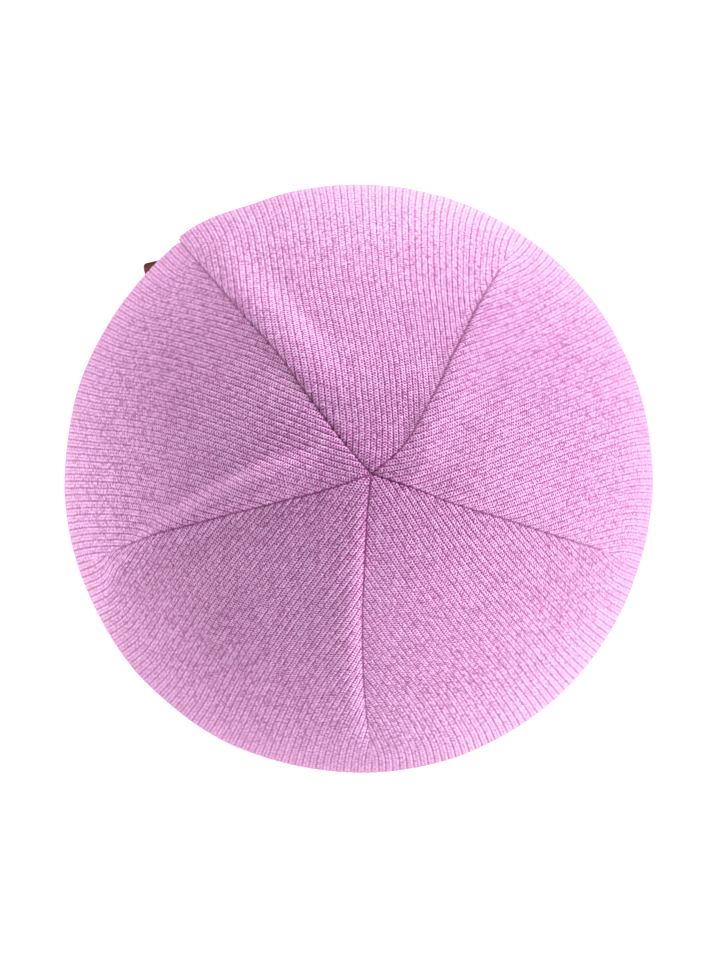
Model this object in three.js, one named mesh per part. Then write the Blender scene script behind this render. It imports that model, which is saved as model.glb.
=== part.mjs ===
// A knitted beanie with five crown seams, a turned-up cuff and a leather loop.
// Millimetres, +Z up. The hat stands on its cuff, and the origin is under its middle, on the surface.
import * as THREE from "three";

// Knit body
const RIM_RADIUS = 95; // outside of the knit at its widest ring
const DOME_HEIGHT = 86; // from the widest ring to the crown
const DOME_POWER = 1.75; // 2 makes the dome an ellipse, less makes its shoulder softer
const BULGE_HEIGHT = 14; // from the cuff's top edge up to the widest ring
const TUCK = 4; // how far the body draws in under the bulge, to stand inside the cuff
const KNIT_WALL = 2.5;
const CROWN_X = 3.6; // where the seams meet, beside the middle
const CROWN_Y = 1.3;
const PEAK = 3; // how far the middle of the crown is drawn up
const PEAK_REACH = 16;
const PEAK_FADES = 0.45; // share of the way out from which that no longer shows
const DIMPLE_DEPTH = 1.2;
const DIMPLE_RADIUS = 3;

// Cuff
const CUFF_HEIGHT = 54;
const CUFF_WALL = 2.7;
const FOLD_HEIGHT = 5; // knit under the body's lower edge, where the cuff turns up
const FOLD_ROUND = 1.7; // radius of the fold's two lower corners, flat between them
const CUFF_EDGE_ROUND = 1.1; // radius of the cuff's upper edge
const FIT_GAP = 0.3; // clearance between pieces

// Seams
const CREASE_DEPTH = 0.8; // how deep the knit is drawn in along a seam's line
const CREASE_WIDTH = 1.2; // how far from the line that depth has fallen to about a third
const SEAM_END = 0.91; // share of the way out where the four short seams end
const SEAM_FADE = 0.1; // share of the way out over which they grow shallow before that
const FOLD_GROWN = 0.25; // share of the way out where the folds beside the seams are fully grown
const MAIN_FOLD_STARTS = 0.15; // the main seam's folds start further out
const MAIN_FOLD_GROWN = 0.5;
const FOLD_FADES = 0.68; // share of the way out where the folds begin to fade
const FOLD_GONE = 0.95;
const GORE_PUFF = 0.3; // how far each gore swells between its seams
const PUFF_GROWN = 0.3; // share of the way out where it is fully grown
const PUFF_FADES = 0.61;
const LAP_RISE = 2.0; // height of the knit that laps over the main seam, out at the widest ring
const LAP_REACH = 28; // width of the knit that rises towards the lap
const LAP_TOP = 4.2; // width of the lap's level top
const LAP_STARTS = 0.65; // shares of the way out where the lap starts and is fully grown
const LAP_GROWN = 0.95;
const LAP_REST = 0.8; // height of the knit on the main seam's other side
const LAP_REST_REACH = 12;
const CROSSING_RISE = 4; // height of the fold that crosses over the left seam
const CROSSING_HALF = 4.5; // half the width of its steep side
const CROSSING_REACH = 13; // width of its other side
const CUFF_LAP_SHARE = 0.45; // share of that relief that the cuff's outside keeps

// Leather loop
const LEATHER = 1.8;
const LOOP_EYE = 1.4; // gap between the loop's two layers
const LOOP_LENGTH = 12; // from the cuff to the outside of the fold
const LOOP_WIDTH = 18; // up and down
const LOOP_CORNER = 1.5; // outer corner radius of the fold
const LOOP_ANGLE = 129.1; // where its outer face leaves the cuff, in degrees from +X towards +Y
const LOOP_HEADING = 192.1; // the way it points
const LOOP_LEVEL = 0.6; // share of the cuff's height at which the loop is centred

// Facets
const GORE_COLUMNS = 18;
const DOME_ROWS = 15;
const ROW_CROWDING = 1.2; // above 1 brings the rows closer together near the crown
const BULGE_ROWS = 4;
const ARC_STEPS = 3;

// The five seams. rim is a seam's direction at the widest ring, in degrees from +X towards +Y. The
// other columns say how many degrees it swings from that at the shares of the way out in SEAM_STOPS.
const SEAM_STOPS = { near: 0.1, inner: 0.25, middle: 0.45, outer: 0.65 };
const SEAMS = [
  { name: "right", rim: -16.6, near: 1.0, inner: -1.7, middle: -0.5, outer: -0.4 },
  { name: "upper", rim: 56.5, near: -20, inner: -8.5, middle: -2.6, outer: -0.3 },
  { name: "main", rim: 127.0, near: 2.0, inner: 0.0, middle: -1.8, outer: -0.4 },
  { name: "left", rim: 197.0, near: 4.0, inner: 0.0, middle: -1.4, outer: -1.6 },
  { name: "lower", rim: 272.5, near: -6.0, inner: -4.6, middle: -3.8, outer: -2.4 },
];
const MAIN_SEAM = 2; // row of the seam that runs down to the cuff
const LEFT_SEAM = 3;

// Height that each seam gives the knit beside it, at the distances from the seam in FOLD_STOPS. Below 0
// is the side that comes before the seam on the way round from +X to +Y.
const FOLD_STOPS = [-20, -14, -10, -7, -4, -2, -1, 0, 1, 2, 4, 7, 10, 14, 20];
const FOLDS = {
  right: [0, 0, 0, 0, 0, 0.1, 0.3, 0.8, 1.3, 1.6, 1.7, 1.5, 1.05, 0.45, 0],
  upper: [0, 0.3, 1.1, 2.0, 2.6, 2.9, 2.8, 1.6, 0.2, -0.3, -0.5, -0.4, -0.1, 0, 0],
  main: [0, 0.2, 1.9, 2.9, 3.1, 3.2, 3.1, 2.0, 1.3, 1.1, 1.0, 0.8, 0.6, 0.3, 0],
  left: [0, 0, 0, 0.1, 0.1, 0.2, 0.2, 0.2, 0.2, 0.2, 0.1, 0.1, 0, 0, 0],
  lower: [0, 0.6, 1.1, 1.5, 1.8, 1.5, 1.0, 0.4, 0.2, 0.2, 0.1, 0.1, 0, 0, 0],
};

// Where a fold crosses over the left seam: distances from the seam, at shares of the way out.
const CROSSING_SHARES = [0.2, 0.35, 0.5, 0.65, 0.8, 0.92];
const CROSSING_AT = [-11, -10, -7, -3, 2, 4];

// Places that follow from the sizes
const hemRadius = RIM_RADIUS - TUCK;
const hemLevel = FOLD_HEIGHT + FIT_GAP;
const rimLevel = CUFF_HEIGHT + BULGE_HEIGHT;
const bulgeFoot = CUFF_HEIGHT + FIT_GAP;
const cuffInside = hemRadius + FIT_GAP;
const cuffOutside = cuffInside + CUFF_WALL;
const foldInside = hemRadius - KNIT_WALL;

const { degToRad, lerp, smoothstep } = THREE.MathUtils;

// The value between given stops at a place, on straight lines from stop to stop.
function between(places, values, place) {
  if (place <= places[0]) return values[0];
  const next = places.findIndex((stop) => stop > place);
  if (next < 0) return values[values.length - 1];
  const part = (place - places[next - 1]) / (places[next] - places[next - 1]);
  return lerp(values[next - 1], values[next], part);
}

// Direction of a seam in degrees, at a share of the way from the crown to the widest ring.
function seamAngle(seam, share) {
  const stops = Object.keys(SEAM_STOPS).map((key) => [SEAM_STOPS[key], seam[key]]);
  stops.push([SEAM_END, 0]);
  let [lastAt, lastSwing] = stops[0];
  if (share <= lastAt) return seam.rim + lastSwing;
  for (const [at, swing] of stops) {
    if (share < at) return seam.rim + lerp(lastSwing, swing, (share - lastAt) / (at - lastAt));
    [lastAt, lastSwing] = [at, swing];
  }
  return seam.rim;
}

// The gore that starts at seam number gore: its edges' directions at a share of the way out.
function goreEdges(gore, share) {
  const next = (gore + 1) % SEAMS.length;
  const start = seamAngle(SEAMS[gore], share);
  const end = seamAngle(SEAMS[next], share) + (next === 0 ? 360 : 0);
  return { start, end, next };
}

// Columns of the mesh, closer together beside the seams.
const columns = SEAMS.flatMap((seam, gore) =>
  Array.from({ length: GORE_COLUMNS }, (_, k) => {
    const across = (1 - Math.cos((Math.PI * k) / GORE_COLUMNS)) / 2;
    return { gore, across };
  }),
);

// Height of the knit beside the main seam, out at the widest ring. Side is -1 before it and 1 after.
function lapRelief(side, distance, share) {
  const grown = smoothstep(share, LAP_STARTS, LAP_GROWN);
  if (side < 0) return grown * LAP_RISE * (1 - smoothstep(distance, LAP_TOP, LAP_REACH));
  return grown * (LAP_REST * Math.exp(-distance / LAP_REST_REACH) - (distance === 0 ? LAP_REST : 0));
}

// Height of the fold that crosses over the left seam, at a distance from that seam.
function crossingRelief(distance, share) {
  const strength = smoothstep(share, 0.1, 0.3) * (1 - smoothstep(share, 0.8, 0.93));
  const beyond = distance - between(CROSSING_SHARES, CROSSING_AT, share);
  const rise = smoothstep(beyond, -CROSSING_HALF, CROSSING_HALF);
  return CROSSING_RISE * strength * rise * (1 - smoothstep(beyond, 0, CROSSING_REACH));
}

// Height that a seam gives the knit at a distance from it. Side is -1 before the seam and 1 after it.
function seamRelief(seam, side, distance, share) {
  const isMain = seam === MAIN_SEAM;
  const grown = smoothstep(share, isMain ? MAIN_FOLD_STARTS : 0, isMain ? MAIN_FOLD_GROWN : FOLD_GROWN);
  const strength = grown * (1 - smoothstep(share, FOLD_FADES, FOLD_GONE));
  const creased = isMain ? 1 : 1 - smoothstep(share, SEAM_END - SEAM_FADE, SEAM_END);
  let relief = strength * between(FOLD_STOPS, FOLDS[SEAMS[seam].name], side * distance);
  relief -= CREASE_DEPTH * creased * Math.exp(-distance / CREASE_WIDTH);
  if (isMain) relief += lapRelief(side, distance, share);
  if (seam === LEFT_SEAM) relief += crossingRelief(side * distance, share);
  return relief;
}

// How far the knit stands out of the plain dome, at a place across a gore and a share of the way out.
function knitRelief(column, share) {
  const { start, end, next } = goreEdges(column.gore, share);
  const width = degToRad(end - start) * share * RIM_RADIUS;
  const puff = smoothstep(share, 0, PUFF_GROWN) * (1 - smoothstep(share, PUFF_FADES, 1));
  const swelling = GORE_PUFF * puff * Math.sin(Math.PI * column.across);
  const fromStart = seamRelief(column.gore, 1, column.across * width, share);
  const fromEnd = seamRelief(next, -1, (1 - column.across) * width, share);
  return swelling + fromStart + fromEnd;
}

// The body's outline from crown to lower edge: radius, level, the way the surface faces, the share of
// the way out, and how much of the relief there is.
function bodyRows() {
  const rows = [];
  for (let j = 0; j <= DOME_ROWS; j++) {
    const turn = (Math.PI / 2) * (j / DOME_ROWS) ** ROW_CROWDING;
    const share = j === DOME_ROWS ? 1 : Math.sin(turn);
    const height = j === DOME_ROWS ? 0 : Math.cos(turn) ** (2 / DOME_POWER);
    const level = rimLevel + DOME_HEIGHT * height;
    rows.push({ radius: RIM_RADIUS * share, level, share, reliefShare: 1 });
  }
  for (let j = 1; j <= BULGE_ROWS; j++) {
    const down = j / BULGE_ROWS;
    const drawn = smoothstep(down, 0, 1);
    rows.push({
      radius: lerp(RIM_RADIUS, hemRadius, drawn),
      level: lerp(rimLevel, bulgeFoot, down),
      share: 1,
      reliefShare: 1 - drawn,
    });
  }
  rows.push({ radius: hemRadius, level: hemLevel, share: 1, reliefShare: 0 });
  rows.forEach((row, j) => {
    const before = rows[Math.max(j - 1, 0)];
    const after = rows[Math.min(j + 1, rows.length - 1)];
    const run = after.radius - before.radius;
    const drop = before.level - after.level;
    const length = Math.hypot(run, drop);
    row.outward = j === 0 ? 0 : drop / length;
    row.upward = j === 0 ? 1 : run / length;
  });
  return rows;
}

// A point of the body. depth is 0 on the outside and the wall's thickness on the inside.
function bodyPoint(row, column, depth) {
  const { start, end } = goreEdges(column.gore, row.share);
  const angle = degToRad(lerp(start, end, column.across));
  const dimple = DIMPLE_DEPTH * Math.exp(-((row.radius / DIMPLE_RADIUS) ** 2));
  const fallen = PEAK * (1 - Math.exp(-row.radius / PEAK_REACH));
  const drawnUp = fallen * (1 - smoothstep(row.share, PEAK_FADES, FOLD_GONE));
  const relief = row.radius === 0 ? -CREASE_DEPTH : knitRelief(column, row.share) * row.reliefShare;
  const offset = relief - depth;
  const radius = row.radius + row.outward * offset;
  return new THREE.Vector3(
    CROWN_X * (1 - row.share) + Math.cos(angle) * radius,
    CROWN_Y * (1 - row.share) + Math.sin(angle) * radius,
    row.level + row.upward * offset - dimple - drawnUp,
  );
}

function meshGeometry(points, triangles) {
  const geometry = new THREE.BufferGeometry().setFromPoints(points);
  geometry.setIndex(triangles);
  geometry.computeVertexNormals();
  return geometry;
}

// Two triangles between neighbouring columns of two rings, seen from outside.
function quad(upperLeft, upperRight, lowerLeft, lowerRight) {
  return [upperLeft, lowerLeft, lowerRight, upperLeft, lowerRight, upperRight];
}

// The hollow body: rings of points from the outer crown down to the lower edge and back up inside.
function knitCrown() {
  const rows = bodyRows();
  const lastRow = rows.length - 1;
  const rings = [];
  for (let j = 1; j <= lastRow; j++) rings.push({ row: rows[j], depth: 0 });
  for (let j = lastRow; j >= 1; j--) rings.push({ row: rows[j], depth: KNIT_WALL });
  const count = columns.length;
  const points = [bodyPoint(rows[0], columns[0], 0)];
  for (const { row, depth } of rings)
    points.push(...columns.map((column) => bodyPoint(row, column, depth)));
  points.push(bodyPoint(rows[0], columns[0], KNIT_WALL));
  const innerPole = points.length - 1;
  const triangles = [];
  const at = (ring, k) => 1 + ring * count + (k % count);
  for (let k = 0; k < count; k++) {
    triangles.push(0, at(0, k), at(0, k + 1));
    for (let ring = 0; ring < rings.length - 1; ring++)
      triangles.push(...quad(at(ring, k), at(ring, k + 1), at(ring + 1, k), at(ring + 1, k + 1)));
    triangles.push(innerPole, at(rings.length - 1, k + 1), at(rings.length - 1, k));
  }
  return meshGeometry(points, triangles);
}

// Points of a quarter-round corner, from one direction to the next, in degrees.
function corner(middleRadius, middleLevel, round, from, to, onOutside) {
  return Array.from({ length: ARC_STEPS + 1 }, (_, k) => {
    const turn = degToRad(lerp(from, to, k / ARC_STEPS));
    return {
      radius: middleRadius + round * Math.cos(turn),
      level: middleLevel + round * Math.sin(turn),
      onOutside,
    };
  });
}

// The cuff's section, round its edge: up the outside, over the top, down to the ledge and round the fold.
function cuffSection() {
  const edge = CUFF_EDGE_ROUND;
  const top = CUFF_HEIGHT - edge;
  return [
    ...corner(cuffOutside - FOLD_ROUND, FOLD_ROUND, FOLD_ROUND, -90, 0, true),
    ...corner(cuffOutside - edge, top, edge, 0, 90, true),
    ...corner(cuffInside + edge, top, edge, 90, 180, false),
    { radius: cuffInside, level: FOLD_HEIGHT, onOutside: false },
    { radius: foldInside, level: FOLD_HEIGHT, onOutside: false },
    ...corner(foldInside + FOLD_ROUND, FOLD_ROUND, FOLD_ROUND, 180, 270, false),
  ];
}

// The cuff: its section carried round the hat, with the main seam's relief on the outside.
function turnedUpCuff() {
  const section = cuffSection();
  const points = columns.flatMap((column) => {
    const { start, end } = goreEdges(column.gore, 1);
    const angle = degToRad(lerp(start, end, column.across));
    const relief = knitRelief(column, 1) * CUFF_LAP_SHARE;
    return section.map(({ radius, level, onOutside }) => {
      const out = radius + (onOutside ? relief : 0);
      return new THREE.Vector3(Math.cos(angle) * out, Math.sin(angle) * out, level);
    });
  });
  const triangles = [];
  const at = (k, i) => (k % columns.length) * section.length + (i % section.length);
  for (let k = 0; k < columns.length; k++)
    for (let i = 0; i < section.length; i++)
      triangles.push(...quad(at(k, i + 1), at(k + 1, i + 1), at(k, i), at(k + 1, i)));
  return meshGeometry(points, triangles);
}

// The folded leather strip, seen from above: it starts on the round of the cuff and ends in the fold.
// Along is measured the way the loop points, and across from its outer face towards the cuff.
function leatherLoop() {
  const seat = cuffOutside + FIT_GAP + LAP_REST * CUFF_LAP_SHARE;
  const heading = degToRad(LOOP_HEADING);
  const angle = degToRad(LOOP_ANGLE);
  const root = new THREE.Vector2(Math.cos(angle), Math.sin(angle)).multiplyScalar(seat);
  const alongWay = new THREE.Vector2(Math.cos(heading), Math.sin(heading));
  const acrossWay = new THREE.Vector2(-Math.sin(heading), Math.cos(heading));
  const startAt = (across) => {
    const from = root.clone().addScaledVector(acrossWay, across);
    const along = from.dot(alongWay);
    return -along + Math.sqrt(along ** 2 - from.lengthSq() + seat ** 2);
  };
  const thickness = 2 * LEATHER + LOOP_EYE;
  const round = Math.min(LOOP_CORNER, thickness / 2);
  const innerRound = LOOP_EYE / 3;
  const eyeEnd = LOOP_LENGTH - LEATHER;
  const outline = new THREE.Shape();
  outline.moveTo(startAt(0), 0);
  outline.lineTo(LOOP_LENGTH - round, 0);
  outline.absarc(LOOP_LENGTH - round, round, round, -Math.PI / 2, 0, false);
  outline.absarc(LOOP_LENGTH - round, thickness - round, round, 0, Math.PI / 2, false);
  outline.lineTo(startAt(thickness), thickness);
  outline.lineTo(startAt(thickness - LEATHER), thickness - LEATHER);
  outline.absarc(eyeEnd - innerRound, thickness - LEATHER - innerRound, innerRound, Math.PI / 2, 0, true);
  outline.absarc(eyeEnd - innerRound, LEATHER + innerRound, innerRound, 0, -Math.PI / 2, true);
  outline.lineTo(startAt(LEATHER), LEATHER);
  outline.closePath();
  const geometry = new THREE.ExtrudeGeometry(outline, {
    depth: LOOP_WIDTH,
    bevelEnabled: false,
    curveSegments: ARC_STEPS + 1,
  });
  return { geometry, root, heading };
}

const knit = new THREE.MeshStandardMaterial({ color: 0xd69ccc, roughness: 0.95, metalness: 0 });
const leather = new THREE.MeshStandardMaterial({ color: 0x7a4c40, roughness: 0.6, metalness: 0 });

function named(name, geometry, material) {
  const mesh = new THREE.Mesh(geometry, material);
  mesh.name = name;
  return mesh;
}

const beanie = new THREE.Group();
beanie.name = "beanie";
beanie.add(named("knit_crown", knitCrown(), knit));
beanie.add(named("turned_up_cuff", turnedUpCuff(), knit));

const loop = leatherLoop();
const loopMesh = named("leather_loop", loop.geometry, leather);
loopMesh.position.set(loop.root.x, loop.root.y, CUFF_HEIGHT * LOOP_LEVEL - LOOP_WIDTH / 2);
loopMesh.rotation.z = loop.heading;
beanie.add(loopMesh);

export default beanie;
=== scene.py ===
"""A knitted beanie, dressed round its packed frame: ribbed gores, cuff, inside seams and a leather loop."""

import math

import bpy
import numpy as np
from bpy.props import FloatProperty, FloatVectorProperty, IntProperty, PointerProperty
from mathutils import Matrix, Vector


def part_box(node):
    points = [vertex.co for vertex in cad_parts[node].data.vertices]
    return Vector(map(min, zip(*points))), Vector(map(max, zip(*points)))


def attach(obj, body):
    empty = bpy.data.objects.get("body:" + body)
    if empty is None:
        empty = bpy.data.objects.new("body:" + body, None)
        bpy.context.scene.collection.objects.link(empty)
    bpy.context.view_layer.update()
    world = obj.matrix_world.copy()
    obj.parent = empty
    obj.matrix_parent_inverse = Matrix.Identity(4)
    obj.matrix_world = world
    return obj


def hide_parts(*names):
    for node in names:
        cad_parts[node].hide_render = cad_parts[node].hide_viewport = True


bl_info = {
    "name": "Knitted Beanie",
    "version": (1, 0, 0),
    "blender": (4, 5, 0),
    "location": "3D View > Sidebar > Beanie",
    "description": "Builds a rib-knit beanie with five crown seams, a cuff and a leather loop",
    "category": "Object",
}

MM = 0.001
ROOT = "root"

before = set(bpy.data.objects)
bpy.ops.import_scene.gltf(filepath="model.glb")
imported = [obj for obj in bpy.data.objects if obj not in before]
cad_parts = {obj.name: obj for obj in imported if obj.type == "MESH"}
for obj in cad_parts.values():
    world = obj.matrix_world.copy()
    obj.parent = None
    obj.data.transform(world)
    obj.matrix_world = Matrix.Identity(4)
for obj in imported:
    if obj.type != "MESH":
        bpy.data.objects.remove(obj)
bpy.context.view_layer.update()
body_low, body_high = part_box("knit_crown")
cuff_low, cuff_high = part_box("turned_up_cuff")
loop_low, loop_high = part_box("leather_loop")

RIM_RADIUS = (body_high.x - body_low.x) / 2
CUFF_TOP = cuff_high.z
CUFF_RADIUS = (cuff_high.x - cuff_low.x) / 2

# The seams that meet at the crown. rim is a seam's direction at the widest ring, in degrees from +X towards +Y.
# The other columns say how many degrees it swings from that at the shares of the way out in SEAM_STOPS.
# The gore that follows a seam has its name. Its ribs lean by the degrees in leans from running straight out, at the
# shares of the way out in LEAN_STOPS.
SEAM_STOPS = (0.1, 0.25, 0.45, 0.65, 0.91)
LEAN_STOPS = (0.28, 0.39, 0.5, 0.62, 0.74, 0.84)
SEAMS = (
    {"name": "right", "rim": -16.6, "swings": (1.0, -1.7, -0.5, -0.4, 0.0), "leans": (0, -2, -1, -1, 1, 0)},
    {"name": "upper", "rim": 56.5, "swings": (-20.0, -8.5, -2.6, -0.3, 0.0), "leans": (1, 5, 4, 0, 0, -1)},
    {"name": "main", "rim": 127.0, "swings": (2.0, 0.0, -1.8, -0.4, 0.0), "leans": (-1, -1, -3, -1, 3, 7)},
    {"name": "left", "rim": 197.0, "swings": (4.0, 0.0, -1.4, -1.6, 0.0), "leans": (3, 2, 1, 2, 2, 3)},
    {"name": "lower", "rim": 272.5, "swings": (-6.0, -4.6, -3.8, -2.4, 0.0), "leans": (0, 1, 2, 4, 1, -5)},
)
MAIN_SEAM = 2
LEFT_SEAM = 3

# Height in mm that each seam gives the knit beside it, at the distances in mm from the seam in FOLD_STOPS. Below 0
# is the near side, which comes before the seam on the way round from +X to +Y.
FOLD_STOPS = (-20, -14, -10, -7, -4, -2, -1, 0, 1, 2, 4, 7, 10, 14, 20)
FOLDS = {
    "right": (0, 0, 0, 0, 0, 0.1, 0.3, 0.8, 1.3, 1.6, 1.7, 1.5, 1.05, 0.45, 0),
    "upper": (0, 0.3, 1.1, 2.0, 2.6, 2.9, 2.8, 1.6, 0.2, -0.3, -0.5, -0.4, -0.1, 0, 0),
    "main": (0, 0.2, 1.9, 2.9, 3.1, 3.2, 3.1, 2.0, 1.3, 1.1, 1.0, 0.8, 0.6, 0.3, 0),
    "left": (0, 0, 0, 0.1, 0.1, 0.2, 0.2, 0.2, 0.2, 0.2, 0.1, 0.1, 0, 0, 0),
    "lower": (0, 0.6, 1.1, 1.5, 1.8, 1.5, 1.0, 0.4, 0.2, 0.2, 0.1, 0.1, 0, 0, 0),
}
CREASES = {"right": 0.5, "upper": 0.4, "main": 0.6, "left": 0.3, "lower": 0.3}  # depth in mm of the line itself


class BodyForm(bpy.types.PropertyGroup):
    """Sizes of the knitted body."""

    dome_height: FloatProperty(
        name="Dome Height", description="From the widest ring to the crown", default=86 * MM, unit="LENGTH"
    )
    dome_power: FloatProperty(
        name="Dome Power", description="2 makes the dome an ellipse, less softens its shoulder", default=1.75
    )
    bulge_height: FloatProperty(
        name="Bulge Height", description="From the cuff's edge up to the widest ring", default=14 * MM, unit="LENGTH"
    )
    tuck: FloatProperty(
        name="Tuck", description="How far the body draws in to stand inside the cuff", default=4 * MM, unit="LENGTH"
    )
    wall: FloatProperty(name="Wall", description="Thickness of the knit", default=2.4 * MM, unit="LENGTH")
    hem_level: FloatProperty(
        name="Hem Level", description="Height of the body's lower edge", default=5.4 * MM, unit="LENGTH"
    )
    crown: FloatVectorProperty(
        name="Crown", description="Where the seams meet", default=(3.6 * MM, 1.3 * MM), size=2, unit="LENGTH"
    )
    dimple_depth: FloatProperty(
        name="Dimple Depth", description="Depth of the hollow at the crown", default=1.2 * MM, unit="LENGTH"
    )
    dimple_radius: FloatProperty(
        name="Dimple Radius", description="Reach of the hollow at the crown", default=3 * MM, unit="LENGTH"
    )
    peak: FloatProperty(name="Peak", description="How far the crown is drawn up", default=3.0 * MM, unit="LENGTH")
    peak_reach: FloatProperty(name="Peak Reach", description="Reach of that rise", default=16 * MM, unit="LENGTH")
    crease_width: FloatProperty(
        name="Crease Width", description="Reach of the narrow crease in a seam", default=0.7 * MM, unit="LENGTH"
    )
    fold_rise: FloatProperty(
        name="Fold Rise", description="Height of the fold that crosses the left seam", default=4.0 * MM, unit="LENGTH"
    )
    fold_reach: FloatProperty(
        name="Fold Reach", description="Width of that fold's far side", default=13 * MM, unit="LENGTH"
    )
    puff: FloatProperty(name="Puff", description="Swelling of a gore between its seams", default=0.3 * MM, unit="LENGTH")
    lap_rise: FloatProperty(
        name="Lap Rise", description="Height of the knit that laps over the main seam", default=2.0 * MM, unit="LENGTH"
    )
    lap_top: FloatProperty(name="Lap Top", description="Width of the lap's level top", default=4.2 * MM, unit="LENGTH")
    lap_reach: FloatProperty(name="Lap Reach", description="Width of the whole lap", default=28 * MM, unit="LENGTH")
    lap_rest: FloatProperty(
        name="Lap Rest", description="Height of the knit beyond the main seam", default=0.8 * MM, unit="LENGTH"
    )
    lap_rest_reach: FloatProperty(
        name="Lap Rest Reach", description="Reach of that height", default=12 * MM, unit="LENGTH"
    )


class KnitSettings(bpy.types.PropertyGroup):
    """The rib knit itself: its gauge and its yarn."""

    ribs: IntProperty(name="Ribs", description="Ribs round the hat", default=260, min=40)
    facets: IntProperty(name="Facets", description="Mesh columns for each rib", default=6, min=4)
    row_step: FloatProperty(name="Row Step", description="Height of a mesh row", default=1.6 * MM, unit="LENGTH")
    stitch: FloatProperty(name="Stitch", description="Height of a stitch", default=0.855 * MM, unit="LENGTH")
    rib_height: FloatProperty(
        name="Rib Height", description="From a furrow to the top of a rib", default=0.24 * MM, unit="LENGTH"
    )
    rib_split: FloatProperty(
        name="Rib Split", description="Depth of the line between a rib's two rows of legs, as a share", default=0.14
    )
    wander: FloatProperty(
        name="Wander", description="How far the soft knit strays from its form", default=0.35 * MM, unit="LENGTH"
    )
    # The knit's tone scale: heathered yarn, with painted shade down the furrows, the splits, the holes and the seam
    # lines taking it towards the dark end, and the rib tops towards the light end.
    light_yarn: FloatVectorProperty(
        name="Light Yarn", description="Yarn on top of a rib", subtype="COLOR", default=(1.0, 0.56, 0.95), size=3
    )
    mid_yarn: FloatVectorProperty(
        name="Mid Yarn", description="Yarn of middling tone", subtype="COLOR", default=(0.72, 0.215, 0.61), size=3
    )
    # The darkest tone is dark yarn and the painted shade down in a furrow.
    dark_yarn_and_furrow_shade: FloatVectorProperty(
        name="Dark Yarn", description="Yarn down in a furrow", subtype="COLOR", default=(0.33, 0.028, 0.24), size=3
    )


class SewingSettings(bpy.types.PropertyGroup):
    """The seams on the inside."""

    width: FloatProperty(name="Width", description="Of the allowance", default=4.4 * MM, unit="LENGTH")
    height: FloatProperty(name="Height", description="How far it stands inwards", default=1.5 * MM, unit="LENGTH")
    stitch_pitch: FloatProperty(
        name="Stitch Pitch", description="From one stitch over it to the next", default=2.2 * MM, unit="LENGTH"
    )
    thread: FloatProperty(name="Thread", description="Thickness of the thread", default=0.5 * MM, unit="LENGTH")
    slant: FloatProperty(name="Slant", description="How far the stitches lean", default=math.radians(24), subtype="ANGLE")


class LeatherSettings(bpy.types.PropertyGroup):
    """The leather loop."""

    thickness: FloatProperty(name="Thickness", description="Of one layer", default=1.8 * MM, unit="LENGTH")
    eye: FloatProperty(name="Eye", description="Gap between the two layers", default=1.4 * MM, unit="LENGTH")
    corner: FloatProperty(name="Corner", description="Outer radius of the fold's corners", default=1.5 * MM, unit="LENGTH")
    length: FloatProperty(name="Length", description="From the cuff to the fold", default=12 * MM, unit="LENGTH")
    angle: FloatProperty(name="Angle", description="Where it leaves the cuff", default=math.radians(129.1), subtype="ANGLE")
    heading: FloatProperty(name="Heading", description="The way it points", default=math.radians(192.1), subtype="ANGLE")
    face: FloatVectorProperty(
        name="Face", description="Colour of the leather's face", subtype="COLOR", default=(0.065, 0.02, 0.011), size=3
    )
    edge: FloatVectorProperty(
        name="Edge", description="Colour of its cut edges", subtype="COLOR", default=(0.38, 0.13, 0.08), size=3
    )


class StageSettings(bpy.types.PropertyGroup):
    """Floor, lights and camera."""

    distance: FloatProperty(
        name="Distance", description="Camera above the widest ring", default=1.1, unit="LENGTH"
    )
    view_height: FloatProperty(
        name="View Height", description="Height of the picture at the widest ring", default=309.7 * MM, unit="LENGTH"
    )
    horizon: FloatProperty(name="Horizon", description="Strength of the even light from the sides", default=1.28)
    zenith: FloatProperty(name="Zenith", description="Strength of the even light from above", default=0.12)
    key: FloatProperty(name="Key", description="Power of the main light", default=27.0, unit="POWER")
    floor_glow: FloatProperty(name="Floor Glow", description="Light that the pale floor adds", default=0.7)


# Curves and small numeric helpers


def smooth(low, high, x):
    """0 below low, 1 above high and a smooth step between."""
    t = np.clip((np.asarray(x, float) - low) / (high - low), 0, 1)
    return t * t * (3 - 2 * t)


SHARES = np.linspace(0, 1, 401)
SEAM_SMOOTHING = 41  # samples of SHARES over which a seam's bends are rounded
SEAM_END = 0.91  # share of the way out where four of the seams end
SEAM_FADE = 0.3
PUFF_GROWN = 0.3


def seam_course(seam):
    """A seam's direction in radians at each of SHARES."""
    swings = np.interp(SHARES, SEAM_STOPS, seam["swings"])
    pad = SEAM_SMOOTHING // 2
    window = np.hanning(SEAM_SMOOTHING)
    padded = np.pad(swings, pad, mode="edge")
    return np.radians(seam["rim"] + np.convolve(padded, window / window.sum(), mode="valid"))


SEAM_COURSES = [seam_course(seam) for seam in SEAMS]


def gore_edges(gore, share):
    """Directions of the two seams that bound a gore, at shares of the way out."""
    following = (gore + 1) % len(SEAMS)
    start = np.interp(share, SHARES, SEAM_COURSES[gore])
    end = np.interp(share, SHARES, SEAM_COURSES[following])
    return start, end + (2 * math.pi if following == 0 else 0)


def gore_wales(gore, ribs):
    """How many ribs a gore has at the widest ring."""
    start, end = gore_edges(gore, 1.0)
    return int(round(ribs * float(end - start) / (2 * math.pi)))


# The ribs of a gore run parallel to its middle, so a seam cuts them off. The share of the ribs that is left at a
# share of the way out is SPREAD_LINEAR * share - SPREAD_CUBIC * share ** 3, until all of them are there.
SPREAD_LINEAR = 1.325
SPREAD_CUBIC = 0.27
SPREAD_SOFTNESS = 0.03


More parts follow.
